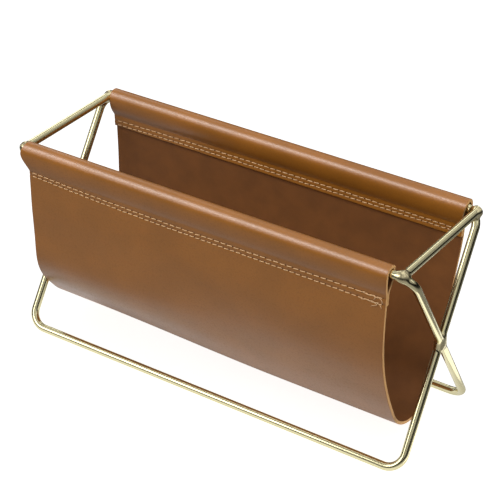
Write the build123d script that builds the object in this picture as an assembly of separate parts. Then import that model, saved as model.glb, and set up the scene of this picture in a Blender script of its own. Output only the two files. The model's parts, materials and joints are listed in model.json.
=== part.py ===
from build123d import *
from math import acos, atan2, cos, sin, sqrt
import os

# Small magazine and letter rack: a leather sling hangs between the top rods of two
# crossed wire frames. Millimetres, +X along the rods, +Y to the back, +Z up.
# The origin is on the table, under the middle of the rack.

# Wire frames
rod_diameter = 4.8          # all the wire in the rack
leg_spacing = 250.0         # between the leg axes of the wider frame at its top, which is at the front
leg_step = 1.0              # the back frame's legs start this much further in, bedded in at the weld
leg_flare = 1.2             # at the bottom rods the legs of both frames stand this much further out
axis_height = 123.2         # from the bottom rod axes up to the top rod axes
top_spacing = 80.0          # between the two top rod axes
foot_spacing = 80.0         # between the two bottom rod axes
bend_radius = 10.0          # on the wire's axis, at the four corners of each frame
crossing_bead_diameter = 8.0
crossing_bead_width = 3.0

# Tie bars, welded between the two top rods at each end
tie_inset = 4.3             # from the wider frame's leg axis in to the middle of the tie bar
right_tie_skew = 2.1        # the front end lies this much further in, the back end further out
left_tie_skew = -0.9
tie_end_gap = 1.0           # the bar stops this far short of the top rod's axis
tie_bead_diameter = 5.6
tie_bead_setback = 1.8      # the bead's centre, from the top rod's axis

# Leather sling
leather_thickness = 2.0
left_end_gap = 0.3          # from the sling's cut edge to the nearest weld bead at that end
right_end_gap = 1.9
tunnel_looseness = 0.8      # the tunnel's inner radius is this much more than the rod's
rod_clearance = 0.3         # between the rod's top and the leather that hangs on it
panel_setback = 2.2         # from the front of the tunnel back to the flat panel
tunnel_depth = 16.2         # from the top of the sling down to where the two layers meet
straight_hang = 18.8        # from there down to where the panel starts to curve in
floor_clearance = 7.9       # under the sling
bottom_radius = 28.0        # outer radius of the sling's bottom

# Stitching
first_row_drop = 2.0        # from where the layers meet to the upper row
row_spacing = 2.5
flap_margin = 3.5           # leather flap below the lower row
thread_diameter = 0.8
seam_end_margin = 1.5       # from the sling's cut edge to the end of the thread

# Worked out from the sizes above
rod_radius = rod_diameter / 2
foot_x = leg_spacing / 2 + leg_flare
foot_z = rod_radius
top_z = foot_z + axis_height
tunnel_inner_radius = rod_radius + tunnel_looseness
tunnel_outer_radius = tunnel_inner_radius + leather_thickness
tunnel_y = top_spacing / 2
tunnel_z = top_z - tunnel_looseness + rod_clearance
panel_y = tunnel_y + tunnel_outer_radius - panel_setback
meet_z = tunnel_z + tunnel_outer_radius - tunnel_depth
curve_z = meet_z - straight_hang
flap_end_z = meet_z - first_row_drop - row_spacing - flap_margin
upper_row_z = meet_z - first_row_drop
lower_row_z = upper_row_z - row_spacing
tie_x = leg_spacing / 2 - tie_inset
bead_radius = tie_bead_diameter / 2
sling_left_x = -(tie_x - abs(left_tie_skew) - bead_radius - left_end_gap)
sling_right_x = tie_x - abs(right_tie_skew) - bead_radius - right_end_gap


def wire_loop(half_length, top_y, foot_y):
    """Closed four-sided loop of round wire with bent corners, leaning from top_y to foot_y."""
    corners = [
        (-half_length, top_y, top_z),
        (half_length, top_y, top_z),
        (foot_x, foot_y, foot_z),
        (-foot_x, foot_y, foot_z),
    ]
    path = FilletPolyline(*corners, radius=bend_radius, close=True)
    section = Plane(origin=path @ 0, z_dir=path % 0) * Circle(rod_radius)
    return sweep(section, path=path)


def crossing_beads(half_length):
    """Weld metal in the corners of the X where the legs cross, at both ends."""
    share = top_spacing / (top_spacing + foot_spacing)
    crossing_z = top_z - share * axis_height
    crossing_x = half_length + share * (foot_x - half_length)
    bead = Rotation(0, 90, 0) * Cylinder(crossing_bead_diameter / 2, crossing_bead_width)
    return [Pos(side * crossing_x, 0, crossing_z) * bead for side in (-1, 1)]


def tie_bar(side, skew):
    """Straight bar between the top rods, with a weld bead at each end."""
    reach = top_spacing / 2
    slope = skew / reach

    def on_axis(y):
        return Vector(side * (tie_x + slope * y), y, top_z)

    start = on_axis(-(reach - tie_end_gap))
    run = on_axis(reach - tie_end_gap) - start
    bar = Solid.make_cylinder(rod_radius, run.length, Plane(origin=start, z_dir=run))
    beads = [
        Plane(origin=on_axis(end * (reach - tie_bead_setback)), z_dir=run) * Sphere(bead_radius)
        for end in (-1, 1)
    ]
    return Part() + bar + beads


def touch_points(point, centre, radius):
    """Where the two lines from a point touch a circle, the lower Y first."""
    dy = point[0] - centre[0]
    dz = point[1] - centre[1]
    distance = sqrt(dy * dy + dz * dz)
    heading = atan2(dz, dy)
    turn = acos(radius / distance)
    found = [
        (centre[0] + radius * cos(heading + way * turn), centre[1] + radius * sin(heading + way * turn))
        for way in (-1, 1)
    ]
    return sorted(found)


def teardrop(low_front, low_back, radius):
    """Face over the front rod: a circle's top with straight sides down to two low points."""
    centre = (-tunnel_y, tunnel_z)
    front = touch_points(low_front, centre, radius)[0]
    back = touch_points(low_back, centre, radius)[1]
    edges = [
        Line(low_front, front),
        ThreePointArc(front, (centre[0], centre[1] + radius), back),
        Line(back, low_back),
    ]
    if low_front != low_back:
        edges.append(Line(low_back, low_front))
    return make_face(edges)


def trough(inset):
    """Face inside the hanging U, drawn inset from the sling's outer surface."""
    half = panel_y - inset
    bottom_z = floor_clearance + inset
    low_radius = bottom_radius - inset
    drop = curve_z - floor_clearance - bottom_radius
    side_radius = (panel_y**2 + drop**2 - bottom_radius**2) / (2 * (panel_y - bottom_radius))
    lean = atan2(drop, side_radius - panel_y)
    joint = (low_radius * cos(lean), curve_z - drop - low_radius * sin(lean))
    swing = (side_radius - inset) * cos(lean / 2) - (side_radius - panel_y)
    side_middle = (swing, curve_z - (side_radius - inset) * sin(lean / 2))
    edges = [
        Line((half, curve_z), (half, meet_z)),
        Line((half, meet_z), (-half, meet_z)),
        Line((-half, meet_z), (-half, curve_z)),
        ThreePointArc((-half, curve_z), (-side_middle[0], side_middle[1]), (-joint[0], joint[1])),
        ThreePointArc((-joint[0], joint[1]), (0, bottom_z), joint),
        ThreePointArc(joint, side_middle, (half, curve_z)),
    ]
    return make_face(edges)


def along_sling(face, end_margin=0.0):
    """Extrude a face drawn in Y and Z along X, from one end of the sling to the other."""
    start = Plane(origin=(sling_left_x + end_margin, 0, 0), x_dir=(0, 1, 0), z_dir=(1, 0, 0))
    return extrude(start * face, amount=sling_right_x - sling_left_x - 2 * end_margin)


def sling():
    """One sheet of leather: a U with a stitched tunnel over each top rod."""
    front_y = -panel_y
    middle_y = front_y + leather_thickness
    inner_y = middle_y + leather_thickness
    tunnel = teardrop((front_y, meet_z), (inner_y, meet_z), tunnel_outer_radius)
    hollow = teardrop((middle_y, meet_z), (middle_y, meet_z), tunnel_inner_radius)
    flap_height = meet_z - flap_end_z
    flap = Pos((middle_y + inner_y) / 2, flap_end_z + flap_height / 2) * Rectangle(
        leather_thickness, flap_height
    )
    hem = tunnel - hollow + flap
    section = trough(0) - trough(leather_thickness) + hem + mirror(hem, about=Plane.YZ)
    return along_sling(section)


def seam_row(side, row_z):
    """One row of thread, proud of the panel outside and of the flap inside."""
    radius = thread_diameter / 2
    outer_y = side * panel_y
    inner_y = side * (panel_y - 2 * leather_thickness)
    threads = Part()
    for face_y, proud in ((outer_y, side), (inner_y, -side)):
        shown = Pos(face_y + proud * radius / 2, row_z) * Rectangle(radius, thread_diameter)
        half_disc = (Pos(face_y, row_z) * Circle(radius)) & shown
        threads += along_sling(half_disc, seam_end_margin)
    return threads


front_top_frame = wire_loop(leg_spacing / 2, -top_spacing / 2, foot_spacing / 2)
back_half_length = leg_spacing / 2 - leg_step
back_top_frame = wire_loop(back_half_length, top_spacing / 2, -foot_spacing / 2)
back_top_frame = back_top_frame + crossing_beads(back_half_length) - front_top_frame

parts = {
    "front_top_frame": front_top_frame,
    "back_top_frame": back_top_frame,
    "left_tie_bar": tie_bar(-1, left_tie_skew) - front_top_frame - back_top_frame,
    "right_tie_bar": tie_bar(1, right_tie_skew) - front_top_frame - back_top_frame,
    "leather_sling": sling(),
    "front_hem_upper_seam": seam_row(-1, upper_row_z),
    "front_hem_lower_seam": seam_row(-1, lower_row_z),
    "back_hem_upper_seam": seam_row(1, upper_row_z),
    "back_hem_lower_seam": seam_row(1, lower_row_z),
}

os.makedirs("parts", exist_ok=True)
for name, shape in parts.items():
    export_step(shape, f"parts/{name}.step")
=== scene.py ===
import json
from math import atan2, ceil, cos, pi, radians, sin

import bpy
import numpy as np
from bpy.props import FloatProperty, FloatVectorProperty, IntProperty, PointerProperty
from bpy.types import Operator, Panel, PropertyGroup
from mathutils import Matrix, Vector

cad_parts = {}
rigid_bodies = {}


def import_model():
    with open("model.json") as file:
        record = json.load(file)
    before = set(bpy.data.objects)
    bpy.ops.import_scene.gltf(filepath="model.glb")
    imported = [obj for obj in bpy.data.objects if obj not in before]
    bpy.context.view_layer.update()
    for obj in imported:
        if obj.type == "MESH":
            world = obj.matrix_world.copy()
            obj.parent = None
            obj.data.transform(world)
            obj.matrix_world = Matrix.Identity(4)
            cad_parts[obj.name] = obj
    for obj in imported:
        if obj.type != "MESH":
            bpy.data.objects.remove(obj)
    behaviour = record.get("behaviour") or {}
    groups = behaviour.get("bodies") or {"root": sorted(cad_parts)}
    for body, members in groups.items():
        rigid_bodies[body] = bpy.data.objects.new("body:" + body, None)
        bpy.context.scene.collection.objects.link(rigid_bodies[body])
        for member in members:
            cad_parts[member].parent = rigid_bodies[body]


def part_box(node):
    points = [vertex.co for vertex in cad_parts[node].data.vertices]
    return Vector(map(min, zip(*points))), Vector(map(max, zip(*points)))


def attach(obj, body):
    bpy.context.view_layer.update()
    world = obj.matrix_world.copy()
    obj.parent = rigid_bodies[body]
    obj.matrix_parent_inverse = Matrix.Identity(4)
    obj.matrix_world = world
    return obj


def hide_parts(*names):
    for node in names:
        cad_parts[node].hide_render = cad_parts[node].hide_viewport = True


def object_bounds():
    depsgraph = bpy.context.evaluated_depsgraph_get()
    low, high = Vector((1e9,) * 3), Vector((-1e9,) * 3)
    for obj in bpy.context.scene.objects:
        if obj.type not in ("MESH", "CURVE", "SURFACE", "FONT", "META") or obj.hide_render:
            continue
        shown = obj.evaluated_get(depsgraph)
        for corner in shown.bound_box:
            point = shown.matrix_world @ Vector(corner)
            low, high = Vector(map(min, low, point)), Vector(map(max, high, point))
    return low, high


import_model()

bl_info = {
    "name": "Wire and Leather Rack",
    "version": (1, 0, 0),
    "blender": (4, 5, 0),
    "location": "3D View > Sidebar > Rack",
    "description": "Finishes a small magazine rack: polished wire frames and a stitched leather sling",
    "category": "Add Mesh",
}

CAD_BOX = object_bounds()
MM = 0.001
PITCHES = {"upper": 4.1 * MM, "lower": 3.7 * MM}    # from stitch to stitch in the two rows of a hem
UP = np.array((0.0, 0.0, 1.0))
WHITE = (1.0, 1.0, 1.0)


# ---------------------------------------------------------------- settings


def length(name, description, default):
    """A size in metres that a user may change."""
    return FloatProperty(name=name, description=description, default=default, unit="LENGTH", precision=5)


def number(name, description, default):
    """A plain number that a user may change."""
    return FloatProperty(name=name, description=description, default=default)


def share(name, description, default):
    """A number from 0 to 1 that a user may change."""
    return FloatProperty(name=name, description=description, default=default, min=0.0, max=1.0)


def colour(name, description, default):
    """A linear colour that a user may change."""
    return FloatVectorProperty(
        name=name, description=description, default=default, subtype="COLOR", min=0.0, max=1.0
    )


class WireSettings(PropertyGroup):
    """Sizes and finish of the wire frames and tie bars."""

    diameter: length("Wire diameter", "Diameter of all the wire", 4.8 * MM)
    leg_spacing: length("Leg spacing", "Between the wider frame's legs at the top", 250.0 * MM)
    leg_step: length("Leg step", "How much further in the back frame's legs start", 1.0 * MM)
    leg_flare: length("Leg flare", "How much further out all the legs stand at the foot", 1.2 * MM)
    bend_radius: length("Bend radius", "Corner radius on the wire's axis", 10.0 * MM)
    left_tie_skew: length("Left tie skew", "How far the left tie bar's front end lies inwards", -0.9 * MM)
    right_tie_skew: length("Right tie skew", "How far the right tie bar's front end lies inwards", 2.1 * MM)
    tie_end_gap: length("Tie end gap", "From the top rod's axis to the end of the tie bar", 1.0 * MM)
    crossing_blend: length("Crossing fillet", "Size of the weld fillet where the legs cross", 2.6 * MM)
    tie_blend: length("Tie fillet", "Size of the weld fillet at a tie bar's end", 2.2 * MM)
    sides: IntProperty(name="Sides", description="Faces round the wire", default=32, min=8)
    gold: colour("Gold", "Pale gold plating", (0.83, 0.76, 0.46))
    roughness: share("Roughness", "Roughness of the polished plating", 0.15)


class SlingSettings(PropertyGroup):
    """Sizes and colours of the leather sling."""

    thickness: length("Leather thickness", "Thickness of the hide", 2.0 * MM)
    panel_setback: length("Panel setback", "From the front of the tunnel back to the flat panel", 2.2 * MM)
    tunnel_depth: length("Tunnel depth", "From the top of the sling to where the layers meet", 16.2 * MM)
    straight_hang: length("Straight hang", "From there to where the panel starts to curve", 18.8 * MM)
    bottom_radius: length("Bottom radius", "Outer radius of the sling's bottom", 28.0 * MM)
    flap_length: length("Flap length", "From where the layers meet to the flap's edge", 8.0 * MM)
    edge_radius: length("Edge radius", "Rounding of the cut edges", 0.30 * MM)
    fullness: length("Fullness", "How far the lower left end bulges at each side", 5.0 * MM)
    rise: length("Rise", "How much less deep the left end hangs", 3.5 * MM)
    tan: colour("Tan", "Grain side of the leather", (0.330, 0.120, 0.0120))
    # The inside colour is the flesh side's own brown, made darker as painted shade inside the sling.
    inside: colour("Inside", "Flesh side of the leather", (0.185, 0.064, 0.012))
    cut_edge: colour("Cut edge", "Raw edge of the leather", (0.60, 0.33, 0.12))
    roughness: share("Roughness", "Roughness of the grain side", 0.36)


class StitchSettings(PropertyGroup):
    """Sizes and colour of the hem stitches."""

    thread: length("Thread diameter", "Diameter of the sewing thread", 0.50 * MM)
    upper_drop: length("Upper row", "From where the layers meet down to the upper row", 2.0 * MM)
    row_spacing: length("Row spacing", "Between the two rows of a hem", 2.5 * MM)
    end_margin: length("End margin", "From the cut edge to the first needle hole", 1.8 * MM)
    hole_gap: length("Hole gap", "Between the ends of neighbouring stitches", 0.8 * MM)
    ochre: colour("Ochre", "Sewing thread", (0.110, 0.050, 0.0045))


class StageSettings(PropertyGroup):
    """Camera, floor and light."""

    azimuth: number("Azimuth", "Camera's turn to the right", 31.70)
    elevation: number("Elevation", "Camera's height angle", 32.78)
    roll: number("Roll", "Camera's roll", 0.88)
    distance: length("Distance", "From the camera to the point that it looks at", 0.9005)
    lens: number("Lens", "Focal length in millimetres", 113.79)
    floor_glow: share("Floor glow", "Light that the floor gives by itself", 0.88)
    bounce: share("Bounce", "Light that the rack gets back from the floor round it", 0.95)
    sky: number("Sky", "Strength of the pale surroundings", 0.30)
    key: number("Key light", "Power of the wide softbox at the front left", 14.0)
    side: number("Side light", "Power of the soft light at the right", 6.0)
    boards: number("Boards", "Brightness of the boards that reflections show", 1.0)
    top: number("Top light", "Power of the soft light overhead", 2.5)


# ---------------------------------------------------------------- shader maths


class Value:
    """A node's output that takes part in ordinary arithmetic."""

    def __init__(self, graph, socket):
        self.graph = graph
        self.socket = socket

    def __add__(self, other):
        return self.graph.math("ADD", self, other)

    def __sub__(self, other):
        return self.graph.math("SUBTRACT", self, other)

    def __rsub__(self, other):
        return self.graph.math("SUBTRACT", other, self)

    def __mul__(self, other):
        return self.graph.math("MULTIPLY", self, other)

    def __truediv__(self, other):
        return self.graph.math("DIVIDE", self, other)

    __radd__ = __add__
    __rmul__ = __mul__


class Graph:
    """The nodes of one material."""

    def __init__(self, name):
        self.material = bpy.data.materials.new(name)
        self.material.use_nodes = True
        self.tree = self.material.node_tree
        self.tree.nodes.clear()

    def node(self, kind, settings=None, inputs=None, output=0):
        """Any node: its type, its settings, then its sockets' values or links."""
        made = self.tree.nodes.new(kind)
        for name, value in (settings or {}).items():
            setattr(made, name, value)
        for name, value in (inputs or {}).items():
            if isinstance(value, Value):
                self.tree.links.new(value.socket, made.inputs[name])
            else:
                made.inputs[name].default_value = value
        return Value(self, made.outputs[output])

    def math(self, operation, *values):
        """A Math node's result."""
        return self.node("ShaderNodeMath", {"operation": operation}, dict(enumerate(values)))

    def mix(self, factor, first, second):
        """A colour from first, at factor 0, to second, at 1."""
        tones = {6: opaque(first), 7: opaque(second)}
        settings = {"data_type": "RGBA", "clamp_factor": True}
        return self.node("ShaderNodeMix", settings, {0: factor, **tones}, output=2)

    def ramp(self, value, low, high):
        """0 below low and 1 above high, or the other way round, with a soft step between."""
        settings = {"interpolation_type": "SMOOTHSTEP"}
        first, last = (0.0, 1.0) if low < high else (1.0, 0.0)
        sockets = {0: value, 1: min(low, high), 2: max(low, high), 3: first, 4: last}
        return self.node("ShaderNodeMapRange", settings, sockets)

    def place(self):
        """The point on the object, in metres."""
        return self.node("ShaderNodeTexCoord", output=3)

    def stretched(self, place, stretch):
        """A point with each of its coordinates multiplied."""
        return self.node("ShaderNodeVectorMath", {"operation": "MULTIPLY"}, {0: place, 1: stretch})

    def noise(self, place, size, detail=3.0, roughness=0.55):
        """Soft noise from 0 to 1 whose spots are about size across, in metres."""
        inputs = {"Vector": place, "Scale": 1.0 / size, "Detail": detail, "Roughness": roughness}
        return self.node("ShaderNodeTexNoise", None, inputs)

    def cells(self, place, size, smoothness):
        """Distance from the middles of pebbles that are about size across, in metres."""
        settings = {"feature": "SMOOTH_F1"}
        inputs = {"Vector": place, "Scale": 1.0 / size, "Smoothness": smoothness}
        return self.node("ShaderNodeTexVoronoi", settings, inputs)

    def two_tones(self, spots, low, high, tone, darker, lighter):
        """A colour that goes from a darker to a lighter tint where spots go from low to high."""
        return self.mix(self.ramp(spots, low, high), tinted(tone, darker), tinted(tone, lighter))

    def mask(self, name):
        """A number that the mesh carries at each vertex."""
        return self.node("ShaderNodeAttribute", {"attribute_name": name}, output=2)

    def bump(self, height, depth):
        """A normal for relief that is depth deep where height goes from 0 to 1."""
        return self.node("ShaderNodeBump", None, {"Height": height, "Distance": depth, "Strength": 1.0})

    def finish(self, tone, roughness, relief=None, others=None):
        """Closes the material with one Principled shader. Relief is a height and its depth."""
        inputs = {"Base Color": opaque(tone), "Roughness": roughness, **(others or {})}
        if relief:
            inputs["Normal"] = self.bump(*relief)
        shader = self.node("ShaderNodeBsdfPrincipled", None, inputs)
        end = self.tree.nodes.new("ShaderNodeOutputMaterial")
        self.tree.links.new(shader.socket, end.inputs["Surface"])
        return self.material


def opaque(tone):
    """A colour as sockets take it: a link, or four numbers."""
    return tone if isinstance(tone, Value) else (*tone, 1.0)


def tinted(tone, factor):
    """A plain colour made lighter or darker."""
    return tuple(min(1.0, part * factor) for part in tone)


# ---------------------------------------------------------------- materials


def polished_gold(settings):
    """Pale gold plating: clear reflections, faint drawing marks, duller and darker at the welds."""
    graph = Graph("polished_pale_gold")
    place = graph.place()
    gold = tuple(settings.gold)
    weld = graph.mask("weld")
    cloud = graph.noise(place, 9 * MM)
    fine = graph.noise(place, 0.35 * MM, detail=2.0)
    tone = graph.two_tones(cloud, 0.35, 0.7, gold, 0.97, 1.03)
    heated = (0.66, 0.54, 0.33)
    tone = graph.mix(weld * 0.45, tone, heated)
    roughness = settings.roughness + 0.05 * cloud + 0.10 * weld
    return graph.finish(tone, roughness, (0.6 * cloud + 0.4 * fine, 0.012 * MM), {"Metallic": 1.0})


# Millimetres from the middle of a needle hole: where the painted shade in the hole starts, and where it is
# darkest.
HOLE_RIM = (0.40, 0.20)


def hole_mask(graph):
    """1 in the needle holes of both rows, where shade is painted, and 0 elsewhere."""
    found = None
    for row in PITCHES:
        phase = graph.mask(row + "_row_holes")
        aside = (phase - graph.math("ROUND", phase)) * PITCHES[row] / MM
        off_row = graph.math("POWER", graph.mask(row + "_row_gap"), 2.0)
        away = graph.math("POWER", aside * aside + off_row, 0.5)
        hole = graph.ramp(away, *HOLE_RIM)
        found = hole if found is None else graph.math("MAXIMUM", found, hole)
    return found


def grain_leather(settings):
    """Smooth tan leather: fine pebbles, pores, soft mottling, darker along the rows of stitches, and painted
    shade in the needle holes.
    """
    graph = Graph("tan_leather_grain_side")
    place = graph.place()
    tan = tuple(settings.tan)
    warped = graph.noise(place, 2.5 * MM, detail=2.0)
    mottle = graph.noise(place, 30 * MM, detail=2.0)
    patches = graph.noise(graph.stretched(place, (0.6, 1.0, 1.4)), 6 * MM)
    pebbles = graph.cells(place, 0.9 * MM, 0.35)
    pores = graph.noise(place, 0.28 * MM, detail=2.0)
    creases = graph.ramp(pebbles, 0.45, 0.85)
    redder = (tan[0] * 1.06, tan[1] * 0.98, tan[2] * 0.86)
    tone = graph.two_tones(mottle, 0.3, 0.7, tan, 0.92, 1.07)
    tone = graph.mix(graph.ramp(patches, 0.45, 0.8) * 0.5, tone, redder)
    tone = graph.mix(creases * 0.22, tone, tinted(tan, 0.55))
    tone = graph.mix(graph.ramp(pores, 0.62, 0.75) * 0.25, tone, tinted(tan, 0.6))
    in_seam_dent = graph.mask("seam_dent")
    # Darker and rougher along the dent that each row of stitches pulls into the hide.
    tone = graph.mix(in_seam_dent * 0.35, tone, tinted(tan, 0.6))
    holes = hole_mask(graph)
    # Painted shade: the needle holes are filled with near-black.
    shadow = (0.030, 0.012, 0.004)
    tone = graph.mix(holes, tone, shadow)
    roughness = settings.roughness + 0.10 * (warped - 0.5) + 0.08 * creases + 0.1 * in_seam_dent
    height = 0.55 * (1.0 - pebbles) + 0.25 * warped + 0.2 * pores - 1.2 * holes
    wax = {"Specular IOR Level": 0.7, "Coat Weight": 0.12, "Coat Roughness": 0.28}
    return graph.finish(tone, roughness, (height, 0.055 * MM), wax)


def flesh_leather(settings):
    """The inside of the hide: its own brown darkened as painted shade, duller, with a short nap."""
    graph = Graph("tan_leather_flesh_side")
    place = graph.place()
    inside = tuple(settings.inside)
    nap = graph.noise(place, 0.5 * MM, detail=4.0, roughness=0.7)
    clouds = graph.noise(place, 14 * MM)
    tone = graph.two_tones(clouds, 0.3, 0.7, inside, 0.88, 1.1)
    tone = graph.mix(graph.ramp(nap, 0.5, 0.8) * 0.4, tone, tinted(inside, 0.7))
    return graph.finish(tone, 0.66 + 0.16 * nap, (nap, 0.09 * MM), {"Specular IOR Level": 0.35})


def raw_edge(settings):
    """The knife-cut edge of the hide: pale and fibrous, with darker worn patches."""
    graph = Graph("tan_leather_cut_edge")
    place = graph.place()
    edge = tuple(settings.cut_edge)
    fibres = graph.noise(place, 0.35 * MM, detail=4.0, roughness=0.75)
    wear = graph.noise(place, 4 * MM)
    tone = graph.two_tones(fibres, 0.3, 0.75, edge, 0.72, 1.12)
    worn = (0.42, 0.20, 0.07)
    tone = graph.mix(graph.ramp(wear, 0.5, 0.75) * 0.45, tone, worn)
    return graph.finish(tone, 0.62 + 0.2 * fibres, (fibres, 0.08 * MM))


def waxed_thread(settings):
    """Ochre thread: dull, with fuzzy fibres and painted shade in the hollows between its plies."""
    graph = Graph("ochre_thread")
    place = graph.place()
    ochre = tuple(settings.ochre)
    fibres = graph.noise(place, 0.12 * MM, detail=2.0)
    dye = graph.noise(place, 7 * MM)
    hollow = graph.mask("ply_hollow")
    tone = graph.two_tones(dye, 0.3, 0.7, ochre, 0.88, 1.12)
    # Painted shade: the thread is darker in the hollows between its plies.
    tone = graph.mix(hollow * 0.6, tone, tinted(ochre, 0.45))
    return graph.finish(tone, 0.75 + 0.2 * fibres, (fibres, 0.03 * MM), {"Specular IOR Level": 0.08})


def matt_paper(name, tone, glow):
    """A plain matt surface with a faint mottle, for the stage."""
    graph = Graph(name)
    mottle = graph.noise(graph.place(), 0.4)
    shade = graph.mix(mottle, tinted(tone, 0.99), tone)
    return graph.finish(shade, 0.9, None, glowing(WHITE, glow))


def glowing(tone, strength):
    """Sockets of a matt surface that gives its own light."""
    return {"Specular IOR Level": 0.0, "Emission Color": opaque(tone), "Emission Strength": strength}


def bounce_paper(glow):
    """Glowing floor that the camera doesn't see: a painted shadow under the rack, a painted pool of light
    round it, darker further away and dimmer towards the back right.
    """
    graph = Graph("bounce_floor")
    place = graph.place()
    aside, ahead = (
        graph.math("ABSOLUTE", graph.node("ShaderNodeSeparateXYZ", None, {0: place}, output=axis))
        for axis in (0, 1)
    )
    away = graph.math("MAXIMUM", aside - CAD_BOX[1].x, ahead - CAD_BOX[1].y)
    # Painted shadow under the rack, then a painted pool of light round it.
    shaded = 0.2 + 0.8 * graph.ramp(away, -0.040, -0.018)
    near = 0.38 + 0.62 * graph.ramp(away, 0.040, 0.006)
    far = 0.05 + 0.95 * graph.ramp(away, 0.42, 0.16)
    towards = {0: place, 1: (0.6, 0.8, 0.0)}
    back_right = graph.node("ShaderNodeVectorMath", {"operation": "DOT_PRODUCT"}, towards, output=1)
    bright = shaded * near * far * (1.0 - 0.4 * graph.ramp(back_right, 0.075, 0.12))
    light = graph.mix(bright, (0.0, 0.0, 0.0), WHITE)
    return graph.finish((0.05, 0.05, 0.05), 0.9, None, glowing(light, glow))


# ---------------------------------------------------------------- lines and meshes


def walk(points):
    """Distance along a line of points, from its first point."""
    steps = np.linalg.norm(np.diff(points, axis=0), axis=1)
    return np.concatenate(([0.0], np.cumsum(steps)))


def along_line(points, values, distances):
    """Values that belong to a line's points, read at distances along it."""
    reached = walk(points)
    return np.stack([np.interp(distances, reached, column) for column in values.T], axis=1)


def finely(points, step):
    """The same line with points every step."""
    whole = walk(points)[-1]
    return along_line(points, points, np.linspace(0.0, whole, ceil(whole / step) + 1))


def stations(points, spacing):
    """Distances along a finely drawn line, as far apart as spacing says at each of its points."""
    density = 1.0 / spacing
    reached = walk(points)
    count = np.concatenate(([0.0], np.cumsum(np.diff(reached) * (density[1:] + density[:-1]) / 2)))
    return np.interp(np.linspace(0.0, count[-1], ceil(count[-1]) + 1), count, reached)


def unit(vectors):
    """The same directions, each 1 long."""
    return vectors / np.linalg.norm(vectors, axis=-1, keepdims=True)


def smooth_step(value):
    """0 up to 0, 1 from 1 on, and an eased rise between."""
    value = np.clip(value, 0.0, 1.0)
    return value * value * (3.0 - 2.0 * value)


def bell(value, middle, spread):
    """1 at the middle, falling to nothing at both sides."""
    return np.exp(-(((value - middle) / spread) ** 2))


def circle(angles):
    """Points of a circle with a radius of 1."""
    return np.column_stack((np.cos(angles), np.sin(angles)))


def grid_faces(rows, columns, wrap_rows=False, wrap_columns=False):
    """Quads of a grid of points, numbered row by row."""
    last_row = rows if wrap_rows else rows - 1
    last_column = columns if wrap_columns else columns - 1
    row, column = np.meshgrid(np.arange(last_row), np.arange(last_column), indexing="ij")
    next_row = (row + 1) % rows
    next_column = (column + 1) % columns
    corners = (
        row * columns + column,
        row * columns + next_column,
        next_row * columns + next_column,
        next_row * columns + column,
    )
    return np.stack(corners, axis=-1).reshape(-1, 4)


def make_piece(name, points, faces, materials, masks):
    """A smooth-shaded mesh object that rides on the rack, with numbers kept at its vertices."""
    mesh = bpy.data.meshes.new(name)
    mesh.from_pydata(np.asarray(points).reshape(-1, 3).tolist(), [], [list(face) for face in faces])
    mesh.shade_smooth()
    for label, values in masks.items():
        layer = mesh.attributes.new(label, "FLOAT", "POINT")
        layer.data.foreach_set("value", np.asarray(values, np.float32).ravel())
    for material in materials:
        mesh.materials.append(material)
    piece = bpy.data.objects.new(name, mesh)
    bpy.context.scene.collection.objects.link(piece)
    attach(piece, "root")
    return piece


def sweep(centres, tangents, flat_normal, radius, sides):
    """Rings of points round a line, and the way out from the line at each point."""
    aside = np.cross(tangents, flat_normal)
    angles = 2.0 * pi * np.arange(sides) / sides
    outward = np.cos(angles)[:, None] * np.broadcast_to(flat_normal, aside.shape)[..., None, :]
    outward = outward + np.sin(angles)[:, None] * aside[..., None, :]
    return centres[..., None, :] + radius * outward, outward


# ---------------------------------------------------------------- wire


class Weld:
    """Weld metal that joins two wires: a bead, and a fillet of a given size round it."""

    reach = 9 * MM
    ripple = 0.10 * MM
    ripple_length = 1.9 * MM

    def __init__(self, centre, bead, blend):
        self.centre = np.array(centre)
        self.bead = bead
        self.blend = blend

    def fill(self, rings, outward, others, radius, inset):
        """Moves the points near the weld out to its surface, and says how far each one went."""
        near = np.linalg.norm(rings - self.centre, axis=-1) < self.reach
        start = rings[near]
        way = outward[near]
        lines = [line[np.linalg.norm(line - self.centre, axis=1) < 2 * self.reach] for line in others]
        lift = np.zeros(len(start))
        for _ in range(30):
            at = start + way * lift[:, None]
            gap = lift
            for line in lines:
                gap = smooth_union(gap, line_gap(at, line) - radius, self.blend)
            gap = smooth_union(gap, self.bead(at - self.centre), self.blend)
            gap = gap + inset - self.lumps(at)
            lift = np.clip(lift - 0.8 * gap, 0.0, self.blend)
        rings[near] = start + way * lift[:, None]
        moved = np.zeros(rings.shape[:-1])
        moved[near] = lift
        return moved

    def lumps(self, points):
        """Uneven weld metal, fading out away from the weld."""
        local = (points - self.centre) / self.ripple_length
        wave = np.sin(local[:, 0] * 1.3 + 0.4) * np.sin(local[:, 1] + 1.1)
        wave = wave + np.sin(local[:, 2] * 0.9 + 2.0)
        distance = np.linalg.norm(points - self.centre, axis=1)
        return self.ripple * wave * smooth_step(1.0 - distance / (0.6 * self.reach))


def smooth_union(first, second, blend):
    """The gap to the union of two shapes, with a fillet between them."""
    overlap = np.maximum(blend - np.abs(first - second), 0.0) / blend
    return np.minimum(first, second) - overlap * overlap * blend / 4.0


def line_gap(points, line):
    """Distance from each point to the nearest point of a finely drawn line."""
    squares = (points**2).sum(1)[:, None] + (line**2).sum(1)[None, :] - 2.0 * points @ line.T
    return np.sqrt(np.maximum(squares.min(axis=1), 0.0))


def disc_bead(points, radius=3.7 * MM, half_width=1.4 * MM, rounding=0.9 * MM):
    """Gap to a rounded disc that lies across X."""
    from_axis = np.hypot(points[:, 1], points[:, 2])
    over = np.stack((from_axis - radius, np.abs(points[:, 0]) - half_width), axis=1) + rounding
    outside = np.linalg.norm(np.maximum(over, 0.0), axis=1)
    return outside + np.minimum(over.max(axis=1), 0.0) - rounding


def ball_bead(points, radius=2.8 * MM):
    """Gap to a ball."""
    return np.linalg.norm(points, axis=1) - radius


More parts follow.
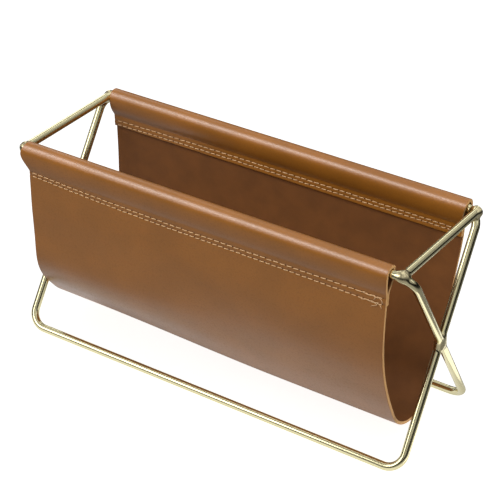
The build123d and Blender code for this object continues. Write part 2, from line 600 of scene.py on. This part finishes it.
def rounded_rectangle(half_width, half_height, radius):
    """A closed rectangle with round corners, in its own plane."""
    corners = []
    for quarter, (side, top) in enumerate(((1, 1), (-1, 1), (-1, -1), (1, -1))):
        angles = (quarter + np.linspace(0.0, 1.0, 41)) * pi / 2
        middle = np.array((side * (half_width - radius), top * (half_height - radius)))
        corners.append(middle + radius * circle(angles))
    outline = np.concatenate(corners)
    return np.concatenate((outline, outline[:1]))


class WireFrames:
    """Routes of all the wires and places of all the welds, from the CAD frame's boxes."""

    route_step = 0.1 * MM
    # Between the rings of the mesh.
    straight_step = 2.5 * MM
    bend_step = 0.6 * MM
    weld_step = 0.3 * MM
    # How far the second wire's share of a weld lies under the first wire's.
    hidden_below = 0.012 * MM

    def __init__(self, settings):
        self.settings = settings
        self.radius = settings.diameter / 2
        low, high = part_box("front_top_frame")
        self.reach = high.y - self.radius
        self.top = high.z - self.radius
        self.foot = low.z + self.radius
        leg_x = settings.leg_spacing / 2
        self.foot_x = leg_x + settings.leg_flare
        self.routes = {
            "front_top_frame": self.loop(leg_x, -self.reach),
            "back_top_frame": self.loop(leg_x - settings.leg_step, self.reach),
            "left_tie_bar": self.tie("left_tie_bar", -settings.left_tie_skew),
            "right_tie_bar": self.tie("right_tie_bar", settings.right_tie_skew),
        }
        self.welds = self.crossing_welds(leg_x) + self.tie_welds()

    def loop(self, half_width, top_y):
        """A closed loop that leans from its top rod, at top_y, to the other side, and flares."""
        leg = np.array((0.0, 2 * top_y, self.top - self.foot))
        height = np.linalg.norm(leg)
        flat = rounded_rectangle(half_width, height / 2, self.settings.bend_radius)
        flat[:, 0] *= 1.0 + (self.foot_x / half_width - 1.0) * (0.5 - flat[:, 1] / height)
        middle = np.array((0.0, 0.0, (self.top + self.foot) / 2))
        route = middle + flat[:, :1] * np.array((1.0, 0.0, 0.0)) + flat[:, 1:] * leg / height
        return finely(route, self.route_step)

    def tie(self, node, skew):
        """A straight bar between the top rods. Skew moves its front end inwards on the right."""
        low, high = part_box(node)
        middle = (low.x + high.x) / 2
        reach = self.reach - self.settings.tie_end_gap
        drift = skew * reach / self.reach
        ends = np.array(((middle - drift, -reach, self.top), (middle + drift, reach, self.top)))
        return finely(ends, self.route_step)

    def crossing_welds(self, leg_x):
        """The legs cross half-way up, at both ends of the rack."""
        height = (self.top + self.foot) / 2
        middle = (self.foot_x + leg_x - self.settings.leg_step / 2) / 2
        frames = ("front_top_frame", "back_top_frame")
        return [
            (Weld((side * middle, 0.0, height), disc_bead, self.settings.crossing_blend), frames)
            for side in (-1, 1)
        ]

    def tie_welds(self):
        """One weld at each end of each tie bar."""
        found = []
        for node in ("left_tie_bar", "right_tie_bar"):
            for end, other in ((0, "front_top_frame"), (-1, "back_top_frame")):
                centre = self.routes[node][end]
                found.append((Weld(centre, ball_bead, self.settings.tie_blend), (node, other)))
        return found

    def build(self, node):
        """One wire, with its share of the weld metal, which lies just under that of the other wire."""
        route = self.routes[node]
        closed = node.endswith("frame")
        places = stations(route, self.spacing(route))
        tangents = unit(np.gradient(route, axis=0))
        if closed:
            tangents[[0, -1]] = unit(route[1] - route[-2])
            places = places[:-1]
            flat_normal = self.plane_normal(route)
        else:
            flat_normal = UP
        centres = along_line(route, route, places)
        ahead = unit(along_line(route, tangents, places))
        rings, outward = sweep(centres, ahead, flat_normal, self.radius, self.settings.sides)
        metal = np.zeros(rings.shape[:-1])
        for weld, wires in self.welds:
            if node in wires:
                others = [self.routes[name] for name in wires if name != node]
                inset = self.hidden_below if node == wires[-1] else 0.0
                metal += weld.fill(rings, outward, others, self.radius, inset)
        faces = grid_faces(len(rings), self.settings.sides, closed, True).tolist()
        if not closed:
            first = list(range(self.settings.sides))
            faces.append(first)
            faces.append([len(centres) * self.settings.sides - 1 - place for place in first])
        return rings, faces, np.clip(metal / (0.5 * MM), 0.0, 1.0)

    def spacing(self, route):
        """How far apart the rings stand: closer at the bends, and closest at the welds."""
        spacing = np.full(len(route), self.straight_step)
        for weld, _ in self.welds:
            away = np.linalg.norm(route - weld.centre, axis=1)
            steps = (self.weld_step, self.straight_step)
            spacing = np.minimum(spacing, np.interp(away, (weld.reach, 3 * weld.reach), steps))
        bend = np.linalg.norm(np.gradient(np.gradient(route, axis=0), axis=0), axis=1)
        return np.where(bend > bend.max() / 4, np.minimum(spacing, self.bend_step), spacing)

    def plane_normal(self, route):
        """The way out of a loop's own plane."""
        quarter = len(route) // 4
        return unit(np.cross(route[quarter] - route[0], route[2 * quarter] - route[0]))


# ---------------------------------------------------------------- leather sling


class Sling:
    """Where each point of the hanging sheet lies: along its length, across its width and off its middle."""

    step = 0.1 * MM
    relaxed = 0.8 * MM
    curve_mark = 25 * MM    # from the end of the flat panel down to the mark on its curved part
    slump_from, slump_run = 35 * MM, 125 * MM    # the slump starts at this X, and grows to the left
    bulge_height, bulge_spread = 46 * MM, 22 * MM
    rise_spread = 26 * MM
    wave_size, wave_length = 0.35 * MM, 21 * MM
    wave_height, wave_spread = 60 * MM, 30 * MM

    # How far the cut ends stand from the CAD sling's ends, in millimetres, to the right: left end, right end.
    end_drift = {
        "front_flap": (-0.3, -1.9),
        "front_meet_inside": (-0.6, -1.8),
        "front_tunnel_top": (-2.2, -1.1),
        "front_tunnel_face": (-3.9, -1.1),
        "front_meet": (0.1, -1.7),
        "front_panel": (-0.2, -2.0),
        "front_bottom": (-1.5, -0.8),
        "bottom": (-1.0, 0.0),
        "back_bottom": (0.0, -1.2),
        "back_panel": (0.0, -1.5),
        "back_meet": (-0.5, 1.2),
        "back_tunnel_face": (-0.7, 3.4),
        "back_tunnel_top": (-0.7, 3.4),
        "back_meet_inside": (-0.5, 1.4),
        "back_flap": (-0.5, 1.0),
    }

    def __init__(self, settings):
        self.settings = settings
        self.half = settings.thickness / 2
        self.low, self.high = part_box("leather_sling")
        self.rod_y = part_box("front_top_frame")[1].y - bpy.context.scene.rack_wire.diameter / 2
        self.tunnel_radius = self.high.y - self.rod_y
        self.tunnel_z = self.high.z - self.tunnel_radius
        self.panel_y = self.high.y - settings.panel_setback
        self.meet_z = self.high.z - settings.tunnel_depth
        self.flap_z = self.meet_z - settings.flap_length
        front, marks = self.half_section()
        back = front[::-1] * (-1.0, 1.0)
        section = finely(np.concatenate((front, back[1:])), self.step)
        self.section = self.relax(section)
        self.reached = walk(self.section)
        self.cut_length = self.reached[-1]
        tangents = unit(np.gradient(self.section, axis=0))
        self.normals = np.column_stack((tangents[:, 1], -tangents[:, 0]))
        self.marks = {}
        for name, distance in marks.items():
            self.marks["front_" + name] = distance
            self.marks["back_" + name] = self.cut_length - distance
        self.marks["bottom"] = self.cut_length / 2
        self.set_ends()

    def half_section(self):
        """The front half of the section, in Y and Z, from the flap's edge to the lowest point."""
        settings = self.settings
        flap = self.panel_y - 3 * self.half
        face = self.panel_y - self.half
        radius = self.tunnel_radius - self.half
        rod = np.array((self.rod_y, self.tunnel_z))
        curve_z = self.meet_z - settings.straight_hang
        drop = curve_z - self.low.z - settings.bottom_radius
        side_radius = (self.panel_y**2 + drop**2 - settings.bottom_radius**2) / 2
        side_radius = side_radius / (self.panel_y - settings.bottom_radius)
        lean = atan2(drop, side_radius - self.panel_y)
        side_middle = np.array((self.panel_y - side_radius, curve_z))
        bottom_middle = np.array((0.0, curve_z - drop))
        low_radius = settings.bottom_radius - self.half
        stretches = {
            "flap": np.array(((flap, self.flap_z), (flap, self.meet_z))),
            "tunnel_back": self.cheek(rod, -radius, flap)[::-1],
            "tunnel_top": rod + radius * circle(np.linspace(pi, 0.0, 60)),
            "tunnel_face": self.cheek(rod, radius, face),
            "panel": np.array(((face, self.meet_z), (face, curve_z))),
            "side": side_middle + (side_radius - self.half) * circle(np.linspace(0.0, -lean, 60)),
            "low": bottom_middle + low_radius * circle(np.linspace(-lean, -pi / 2, 60)),
        }
        lines = list(stretches.values())
        ends = {name: walk(np.concatenate(lines[: place + 1]))[-1] for place, name in enumerate(stretches)}
        tunnel_start = ends["flap"]
        panel_start = ends["panel"] - settings.straight_hang
        marks = {
            "flap": 0.0,
            "meet_inside": tunnel_start,
            "tunnel_top": (tunnel_start + panel_start) / 2,
            "tunnel_face": tunnel_start * 0.3 + panel_start * 0.7,
            "meet": panel_start,
            "panel": ends["panel"] + self.curve_mark,
            "bottom": ends["side"],
        }
        return np.concatenate(lines) * (-1.0, 1.0), marks

    def cheek(self, rod, radius, seam_y):
        """The arc from beside the rod, where the hide hangs upright, down and in to the seam."""
        middle, height = rod
        drop = height - self.meet_z
        inwards = middle + radius - seam_y
        turn = 2.0 * atan2(abs(inwards), drop)
        arc_radius = drop / sin(turn)
        angles = np.linspace(0.0, turn, 40)
        sideways = np.sign(inwards) * arc_radius * (1.0 - np.cos(angles))
        return np.column_stack((middle + radius - sideways, height - arc_radius * np.sin(angles)))

    def relax(self, line):
        """Rounds the line's kinks, because leather doesn't crease."""
        reach = int(3 * self.relaxed / self.step)
        weights = np.exp(-0.5 * (np.arange(-reach, reach + 1) * self.step / self.relaxed) ** 2)
        weights = weights / weights.sum()
        ahead = line[0] + (line[0] - line[1]) * np.arange(reach, 0, -1)[:, None]
        beyond = line[-1] + (line[-1] - line[-2]) * np.arange(1, reach + 1)[:, None]
        padded = np.concatenate((ahead, line, beyond))
        return np.column_stack([np.convolve(column, weights, "valid") for column in padded.T])

    def set_ends(self):
        """Where the left and right cut edges run, at each point of the section."""
        places = sorted((self.marks[name], drift) for name, drift in self.end_drift.items())
        distances = np.array([place for place, _ in places])
        drifts = np.array([drift for _, drift in places]) * MM
        index = np.clip(np.searchsorted(distances, self.reached, "right") - 1, 0, len(distances) - 2)
        gap = distances[index + 1] - distances[index]
        part = smooth_step((self.reached - distances[index]) / gap)
        drift = drifts[index] + part[:, None] * (drifts[index + 1] - drifts[index])
        self.left = self.low.x + drift[:, 0]
        self.right = self.high.x + drift[:, 1]

    def place(self, along, across, lift):
        """Points in space. Lift is from the middle of the hide towards its grain side."""
        along, across, lift = np.broadcast_arrays(along, across, lift)
        section = [np.interp(along, self.reached, column) for column in self.section.T]
        normal = [np.interp(along, self.reached, column) for column in self.normals.T]
        left = np.interp(along, self.reached, self.left)
        right = np.interp(along, self.reached, self.right)
        x = left + across * (right - left)
        y = section[0] + lift * normal[0]
        z = section[1] + lift * normal[1]
        return self.slump(x, y, z)

    def slump(self, x, y, z):
        """The left end hangs wider and less deep, and the panels wave a little."""
        to_left = smooth_step((self.slump_from - x) / self.slump_run)
        low_down = bell(z, self.bulge_height, self.bulge_spread)
        under = bell(z, self.low.z, self.rise_spread)
        wave = self.wave_size * np.sin(x / self.wave_length + 0.6)
        wave = wave * bell(z, self.wave_height, self.wave_spread)
        wider = self.settings.fullness * low_down * to_left * np.clip(y / (30 * MM), -1.0, 1.0)
        return np.stack((x, y + wider + wave, z + self.settings.rise * under * to_left), axis=-1)

    def width(self):
        """From cut end to cut end, before they drift."""
        return self.high.x - self.low.x


class Hem:
    """The two rows of stitches that close one tunnel. They sag a little, and bend towards their ends."""

    sag = 1.2 * MM
    rises = {"upper": (2.5 * MM, 0.7 * MM), "lower": (3.0 * MM, -0.8 * MM)}    # left end, right end
    bend = {"front": 1.0, "back": -0.5}    # how much of the rises each side has

    def __init__(self, sling, side, settings):
        self.sling = sling
        self.side = side
        self.settings = settings
        width = sling.width() - 2 * settings.end_margin
        self.count = {row: round(width / pitch) for row, pitch in PITCHES.items()}
        self.margin = settings.end_margin / sling.width()

    def height(self, row, across):
        """Height of a row's line at a share of the sling's width."""
        straight = self.sling.meet_z - self.settings.upper_drop
        if row == "lower":
            straight = straight - self.settings.row_spacing
        left, right = self.rises[row]
        from_middle = 2.0 * across - 1.0
        rise = np.where(from_middle < 0, left, right) * from_middle**2
        return straight - self.sag + rise * self.bend[self.side]

    def holes(self, row, across):
        """How many stitches of a row lie to the left of a place across the sling."""
        return (across - self.margin) / (1.0 - 2.0 * self.margin) * self.count[row]

    def across(self, row, holes):
        """The place across the sling that has so many stitches of a row to its left."""
        return self.margin + holes / self.count[row] * (1.0 - 2.0 * self.margin)

    def along(self, height, face):
        """Distance along the hide to a height on the panel outside, or on the flap inside."""
        if face == "outside":
            distance = self.sling.marks["front_meet"] + self.sling.meet_z - height
        else:
            distance = self.sling.marks["front_meet_inside"] - self.sling.meet_z + height
        return distance if self.side == "front" else self.sling.cut_length - distance


# The sheet's mesh: points over each cut edge, columns across it, and the steps between its rows.
EDGE_POINTS = 5
COLUMNS = 160
PANEL_STEP = 2.4 * MM
TUNNEL_STEP = 0.9 * MM
SEAM_STEP = 0.5 * MM
# The dent that a row of stitches pulls into the grain side.
DENT_WIDTH = 0.75 * MM
DENT_DEPTH = 0.22 * MM


def with_edges(inside, whole, radius):
    """Places from one cut edge to the other, and how much thinner the hide is at each of them."""
    turns = np.linspace(pi / 2, 0.0, EDGE_POINTS)
    inset = radius * (1.0 - np.sin(turns))
    thinner = radius * (1.0 - np.cos(turns))
    places = np.concatenate((inset, inside, whole - inset[::-1]))
    return places, np.concatenate((thinner, np.zeros(len(inside)), thinner[::-1]))


def sheet_rows(sling, margin):
    """Distances along the hide, from margin to margin, closer together in the hems."""
    heights = sling.section[:, 1]
    in_hem = smooth_step((heights - sling.flap_z + 2 * MM) / (3 * MM))
    hem_step = np.where(heights > sling.meet_z + 1 * MM, TUNNEL_STEP, SEAM_STEP)
    distances = stations(sling.section, PANEL_STEP + in_hem * (hem_step - PANEL_STEP))
    return distances[(distances > margin) & (distances < sling.cut_length - margin)]


def build_sheet(sling, hems, materials):
    """The one sheet of leather, with rounded cut edges and a dent along each row of stitches."""
    edge = sling.settings.edge_radius
    width = sling.width()
    columns, thin_column = with_edges(np.linspace(2.2 * edge, width - 2.2 * edge, COLUMNS), width, edge)
    rows, thin_row = with_edges(sheet_rows(sling, 1.5 * edge), sling.cut_length, edge)
    lift = sling.half - np.minimum(thin_row[:, None] + thin_column, edge)
    across = columns[None, :] / width
    depth, height = (np.interp(rows, sling.reached, column)[:, None] for column in sling.section.T)
    dent = 0.0
    masks = {}
    for row in PITCHES:
        front, back = (height - hems[side].height(row, across) for side in ("front", "back"))
        gap = np.where(depth < 0, front, back)
        holes = np.broadcast_to(hems["front"].holes(row, across), gap.shape)
        masks[row + "_row_gap"] = np.tile(gap.ravel() / MM, 2)
        masks[row + "_row_holes"] = np.tile(holes.ravel(), 2)
        dent = dent + bell(gap, 0.0, DENT_WIDTH)
    masks["seam_dent"] = np.concatenate((np.clip(dent, 0, 1).ravel(), np.zeros(dent.size)))
    outer = sling.place(rows[:, None], across, lift - DENT_DEPTH * dent)
    inner = sling.place(rows[:, None], across, -lift)
    points = np.concatenate((outer.reshape(-1, 3), inner.reshape(-1, 3)))
    faces, kinds = sheet_faces(len(rows), len(columns))
    piece = make_piece("leather_sling_sheet", points, faces, materials, masks)
    piece.data.polygons.foreach_set("material_index", kinds)
    return piece


def sheet_faces(rows, columns):
    """Faces of the two sides and of the rim between them, with the material of each."""
    outer = grid_faces(rows, columns)
    inner = grid_faces(rows, columns)[:, ::-1] + rows * columns
    row, column = np.divmod(outer[:, 0], columns)
    border = EDGE_POINTS // 2
    at_side = (column < border) | (column >= columns - 1 - border)
    at_end = (row < border) | (row >= rows - 1 - border)
    at_rim = at_side | at_end
    loop = np.concatenate(
        (
            np.arange(columns),
            np.arange(1, rows) * columns + columns - 1,
            (rows - 1) * columns + np.arange(columns - 2, -1, -1),
            np.arange(rows - 2, 0, -1) * columns,
        )
    )
    following = np.roll(loop, -1)
    rim = np.stack((following, loop, loop + rows * columns, following + rows * columns), axis=1)
    kinds = np.concatenate((np.where(at_rim, 2, 0), np.where(at_rim, 2, 1), np.full(len(rim), 2)))
    return np.concatenate((outer, inner, rim)).tolist(), kinds.astype(np.int32)


# ---------------------------------------------------------------- stitches


class Thread:
    """Sewing thread as a mesh that grows by one bowed length at a time."""

    sides = 12
    twist = 1.1 * MM    # along the thread, for half a turn of its two plies

    def __init__(self, diameter):
        self.radius = diameter / 2
        self.points = []
        self.faces = []
        self.hollows = []
        self.used = 0

    def add(self, centres, flat_normal=UP, radius=None):
        """A two-ply length along each line of centres, with its ends closed to points."""
        radius = self.radius if radius is None else radius
        tangents = unit(np.gradient(centres, axis=-2))
        reached = walk(centres.reshape(-1, 3)[: centres.shape[-2]])
        _, outward = sweep(centres, tangents, flat_normal, radius, self.sides)
        angles = 2.0 * pi * np.arange(self.sides) / self.sides
        ply = np.cos(2.0 * (angles[None, :] - pi * reached[:, None] / self.twist))
        taper = np.sqrt(np.clip(np.minimum(reached, reached[-1] - reached) / radius, 0.02, 1.0))
        size = radius * (0.86 + 0.14 * ply) * taper[:, None]
        rings = centres[..., None, :] + size[..., None] * outward
        count = centres.shape[-2]
        for one in rings.reshape(-1, count, self.sides, 3):
            faces = grid_faces(count, self.sides, False, True) + self.used
            self.points.append(one.reshape(-1, 3))
            self.faces.extend(faces.tolist())
            self.faces.append([self.used + side for side in range(self.sides)])
            self.faces.append([self.used + count * self.sides - 1 - side for side in range(self.sides)])
            # How deep each point lies between the plies, for the painted shade in the thread's material.
            self.hollows.append(np.clip(-ply, 0.0, 1.0).ravel())
            self.used += count * self.sides


# Added up, they give each row of stitches on each face its own small unevenness.
ROW_SEEDS = {"upper": 152, "lower": 143}
FACE_SEEDS = {"outside": 7, "inside": 6}
SIDE_SEEDS = {"front": 0, "back": 31}


def stitch_row(thread, hem, row, face, settings):
    """Stitches along one row on one face, each bowed up between two needle holes and a little aslant."""
    chance = np.random.default_rng(ROW_SEEDS[row] + FACE_SEEDS[face] + SIDE_SEEDS[hem.side])
    part = np.linspace(0.0, 1.0, 13)
    count = hem.count[row]
    tuck = settings.hole_gap / PITCHES[row] / 2
    holes = np.arange(count)[:, None] + tuck + part[None, :] * (1.0 - 2.0 * tuck)
    across = hem.across(row, holes)
    slant = chance.uniform(0.10, 0.30, (count, 1)) * MM
    wobble = chance.uniform(-0.12, 0.12, (count, 1)) * MM
    height = hem.height(row, across) + slant * (part - 0.5) + wobble
    bow = thread.radius * (0.95 * np.sin(pi * part) ** 0.45 - 0.75)
    bow = bow * chance.uniform(0.85, 1.2, (count, 1))
    lines = hem.sling.place(hem.along(height, face), across, hem.sling.half - 0.15 * MM + bow)
    thread.add(lines)


def lock_off(thread, hem, row):
    """The tangle at the right front end: stitches sewn back over the row, and cut thread ends."""
    chance = np.random.default_rng(5 if row == "upper" else 9)
    part = np.linspace(0.0, 1.0, 13)
    for turn in range(3):
        start = hem.count[row] - 3.4 + 0.95 * turn
        across = hem.across(row, start + 0.9 * part)
        cross = chance.uniform(-1.0, 1.0) * MM
        height = hem.height(row, across) + cross * (part - 0.5) + chance.uniform(-0.4, 0.4) * MM
        lift = hem.sling.half + thread.radius * (1.3 * np.sin(pi * part) - 0.6)
        thread.add(hem.sling.place(hem.along(height, "outside"), across, lift)[None])
    for tail in range(2):
        part = np.linspace(0.0, 1.0, 17)
        bend = chance.uniform(0.6, 1.5)
        size = chance.uniform(2.4, 3.8) * MM
        start = hem.across(row, hem.count[row] - 1.3 + 0.8 * tail)
        across = start + size * np.sin(bend * pi * part) / 2 / hem.sling.width()
        height = hem.height(row, across) - size * part + 0.3 * size * np.sin(2.5 * part)
        lift = hem.sling.half + thread.radius * (0.5 + 1.6 * np.sin(pi * part))
        line = hem.sling.place(hem.along(height, "outside"), across, lift)
        thread.add(line[None], flat_normal=np.array((0.0, -1.0, 0.0)), radius=0.62 * thread.radius)


# ---------------------------------------------------------------- operators


class RACK_OT_wire(Operator):
    """Make the two crossed wire frames and the two tie bars, with their welds"""

    bl_idname = "rack.wire"
    bl_label = "Wire Frames and Tie Bars"

    def execute(self, context):
        settings = context.scene.rack_wire
        frames = WireFrames(settings)
        gold = polished_gold(settings)
        for node in frames.routes:
            rings, faces, metal = frames.build(node)
            piece = make_piece(node + "_wire", rings, faces, [gold], {"weld": metal})
            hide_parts(node)
        return {"FINISHED"}


class RACK_OT_sling(Operator):
    """Make the leather sling from one cut sheet, and sew its two hems"""

    bl_idname = "rack.sling"
    bl_label = "Leather Sling and Stitches"

    def execute(self, context):
        settings = context.scene.rack_sling
        stitch = context.scene.rack_stitch
        sling = Sling(settings)
        hems = {side: Hem(sling, side, stitch) for side in ("front", "back")}
        materials = [grain_leather(settings), flesh_leather(settings), raw_edge(settings)]
        sheet = build_sheet(sling, hems, materials)
        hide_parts("leather_sling")
        rows = [self.sew(hems[side], row, stitch) for side in hems for row in PITCHES]
        return {"FINISHED"}

    def sew(self, hem, row, settings):
        """One row of stitches, outside and inside."""
        thread = Thread(settings.thread)
        for face in ("outside", "inside"):
            stitch_row(thread, hem, row, face, settings)
        if hem.side == "front":
            lock_off(thread, hem, row)
        name = f"{hem.side}_hem_{row}_"
        masks = {"ply_hollow": np.concatenate(thread.hollows)}
        ochre = bpy.data.materials.get("ochre_thread") or waxed_thread(settings)
        points = np.concatenate(thread.points)
        piece = make_piece(name + "stitches", points, thread.faces, [ochre], masks)
        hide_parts(name + "seam")
        return piece


# White boards: name, from and to in degrees round the rack from +X, from and to in height, brightness.
BOARDS = (
    ("front_left", (218, 250), (18, 48), 3.0),
    ("front_right", (-76, -46), (22, 66), 0.55),
    ("right", (-30, -8), (34, 70), 1.0),
    ("back_right", (14, 40), (26, 66), 0.8),
    ("back", (60, 88), (24, 70), 0.5),
    ("back_middle", (99, 107), (26, 66), 2.2),
    ("back_left", (131, 143), (4, 60), 1.6),
    ("left", (172, 192), (6, 60), 1.0),
)
BOARD_DISTANCE = 1.45
BOARD_POINTS = 13
# A white card on the floor at the right end: its left front corner, its right back corner, its brightness.
FLOOR_CARD = ((0.142, -0.05), (0.172, 0.14), 1.2)
# Softboxes: the setting with their power, place, size, and whether they light only leather and thread.
SOFTBOXES = (
    ("key", (-0.52, -0.76, 1.05), (1.3, 0.46), True),
    ("side", (1.0, -0.1, 0.40), (0.6, 0.6), True),
    ("top", (0.1, 0.2, 1.4), (1.0, 1.0), False),
)
# From the middle of the CAD box to the point that the camera looks at.
AIM_OFFSET = Vector((0.4, 7.0, 9.6)) * MM


class RACK_OT_stage(Operator):
    """Set the pale floor, the soft studio light and the camera"""

    bl_idname = "rack.stage"
    bl_label = "Floor, Light and Camera"

    def execute(self, context):
        settings = context.scene.rack_stage
        self.floor(context, settings)
        self.dark_wall(context)
        self.panels(context, settings)
        self.light(context, settings)
        self.camera(context, settings)
        context.scene.view_settings.view_transform = "Standard"
        return {"FINISHED"}

    def floor(self, context, settings):
        """The floor that shows, and under it the one that lights the rack and is seen in its wires."""
        half = 4.0
        white = matt_paper("white_floor", (0.86, 0.86, 0.86), settings.floor_glow)
        shown = self.flat(context, "floor", (-half, -half), (half, half), 0.0, white)
        shown.visible_diffuse = False
        shown.visible_glossy = False
        paper = bounce_paper(settings.bounce)
        bounce = self.flat(context, "bounce_floor", (-half, -half), (half, half), -1 * MM, paper)
        bounce.visible_camera = False

    def dark_wall(self, context):
        """Dark studio walls that the camera doesn't see."""
        sides, radius, bottom, top = 64, 1.5, 0.02, 0.42
        ring = radius * circle(2 * pi * np.arange(sides) / sides)
        points = [(x, y, z) for z in (bottom, top) for x, y in ring]
        paper = matt_paper("dark_wall", (0.03, 0.028, 0.026), 0.0)
        wall = self.prop(context, "dark_wall", points, grid_faces(2, sides, False, True).tolist(), paper)
        wall.visible_camera = False
        wall.visible_shadow = False

    def panels(self, context, settings):
        """White boards on a dome round the rack, with gaps between them, and a card on the floor."""
        faces = grid_faces(BOARD_POINTS, BOARD_POINTS).tolist()
        for name, turns, heights, glow in BOARDS:
            spans = (np.radians(np.linspace(*ends, BOARD_POINTS)) for ends in (turns, heights))
            turn, height = np.meshgrid(*spans)
            level = np.cos(height)
            dome = np.stack((level * np.cos(turn), level * np.sin(turn), np.sin(height)), axis=-1)
            paper = self.board_paper("board_" + name, glow * settings.boards)
            points = BOARD_DISTANCE * dome.reshape(-1, 3)
            self.hide(self.prop(context, "board_" + name, points, faces, paper))
        low, high, glow = FLOOR_CARD
        paper = self.board_paper("floor_card", glow * settings.boards)
        self.hide(self.flat(context, "floor_card", low, high, -0.5 * MM, paper))

    def board_paper(self, name, glow):
        """White paper that glows."""
        return matt_paper(name, (0.8, 0.8, 0.8), glow)

    def hide(self, board):
        """Only reflections show it."""
        board.visible_camera = False
        board.visible_diffuse = False
        board.visible_shadow = False

    def flat(self, context, name, low, high, level, material):
        """A level rectangle from its left front corner to its right back one."""
        corners = (low, (high[0], low[1]), high, (low[0], high[1]))
        return self.prop(context, name, [(x, y, level) for x, y in corners], [(0, 1, 2, 3)], material)

    def prop(self, context, name, points, faces, material):
        """A mesh object that belongs to the stage."""
        mesh = bpy.data.meshes.new(name)
        mesh.from_pydata([tuple(point) for point in points], [], faces)
        mesh.materials.append(material)
        thing = bpy.data.objects.new(name, mesh)
        context.scene.collection.objects.link(thing)
        return thing

    def light(self, context, settings):
        """Pale surroundings and the softboxes."""
        world = bpy.data.worlds.new("pale_room")
        world.use_nodes = True
        backdrop = world.node_tree.nodes["Background"]
        backdrop.inputs["Color"].default_value = opaque(WHITE)
        backdrop.inputs["Strength"].default_value = settings.sky
        context.scene.world = world
        leather = bpy.data.collections.new("leather_and_thread")
        for piece in context.scene.objects:
            if piece.name.endswith(("_sheet", "_stitches")):
                leather.objects.link(piece)
        for name, place, size, leather_only in SOFTBOXES:
            lamp = self.softbox(context, name + "_light", place, size, getattr(settings, name))
            if leather_only:
                lamp.light_linking.receiver_collection = leather

    def softbox(self, context, name, place, size, power):
        """A rectangular light that faces the middle of the floor."""
        lamp = bpy.data.lights.new(name, "AREA")
        lamp.shape = "RECTANGLE"
        lamp.size, lamp.size_y = size
        lamp.energy = power
        holder = bpy.data.objects.new(name, lamp)
        holder.location = place
        holder.rotation_euler = Vector(place).to_track_quat("Z", "Y").to_euler()
        holder.visible_camera = False
        context.scene.collection.objects.link(holder)
        return holder

    def camera(self, context, settings):
        """Looks at a point a little above the rack's middle, and behind it."""
        lens = bpy.data.cameras.new("camera")
        lens.lens = settings.lens
        turn = radians(settings.azimuth)
        tilt = radians(settings.elevation)
        back = Vector((sin(turn) * cos(tilt), -cos(turn) * cos(tilt), sin(tilt)))
        low, high = CAD_BOX
        aim = (low + high) / 2 + AIM_OFFSET
        side = Vector((cos(turn), sin(turn), 0.0))
        rise = back.cross(side)
        roll = radians(settings.roll)
        right = cos(roll) * side + sin(roll) * rise
        upward = cos(roll) * rise - sin(roll) * side
        axes = Matrix((right, upward, back)).transposed().to_4x4()
        holder = bpy.data.objects.new("camera", lens)
        holder.matrix_world = Matrix.Translation(aim + settings.distance * back) @ axes
        context.scene.collection.objects.link(holder)
        context.scene.camera = holder


class RACK_PT_panel(Panel):
    """Settings and steps of the rack"""

    bl_idname = "RACK_PT_panel"
    bl_label = "Wire and Leather Rack"
    bl_space_type = "VIEW_3D"
    bl_region_type = "UI"
    bl_category = "Rack"

    def draw(self, context):
        for operator, settings in STEPS:
            box = self.layout.box()
            box.operator(operator)
            for name in settings:
                group = getattr(context.scene, name)
                for entry in type(group).__annotations__:
                    box.prop(group, entry)


STEPS = (
    ("rack.wire", ("rack_wire",)),
    ("rack.sling", ("rack_sling", "rack_stitch")),
    ("rack.stage", ("rack_stage",)),
)
SETTINGS = {
    "rack_wire": WireSettings,
    "rack_sling": SlingSettings,
    "rack_stitch": StitchSettings,
    "rack_stage": StageSettings,
}
CLASSES = (*SETTINGS.values(), RACK_OT_wire, RACK_OT_sling, RACK_OT_stage, RACK_PT_panel)


def register():
    for kind in CLASSES:
        bpy.utils.register_class(kind)
    for name, kind in SETTINGS.items():
        setattr(bpy.types.Scene, name, PointerProperty(type=kind))


def unregister():
    for name in SETTINGS:
        delattr(bpy.types.Scene, name)
    for kind in reversed(CLASSES):
        bpy.utils.unregister_class(kind)


def main():
    register()
    bpy.ops.rack.wire()
    bpy.ops.rack.sling()
    bpy.ops.rack.stage()


if __name__ == "__main__":
    main()
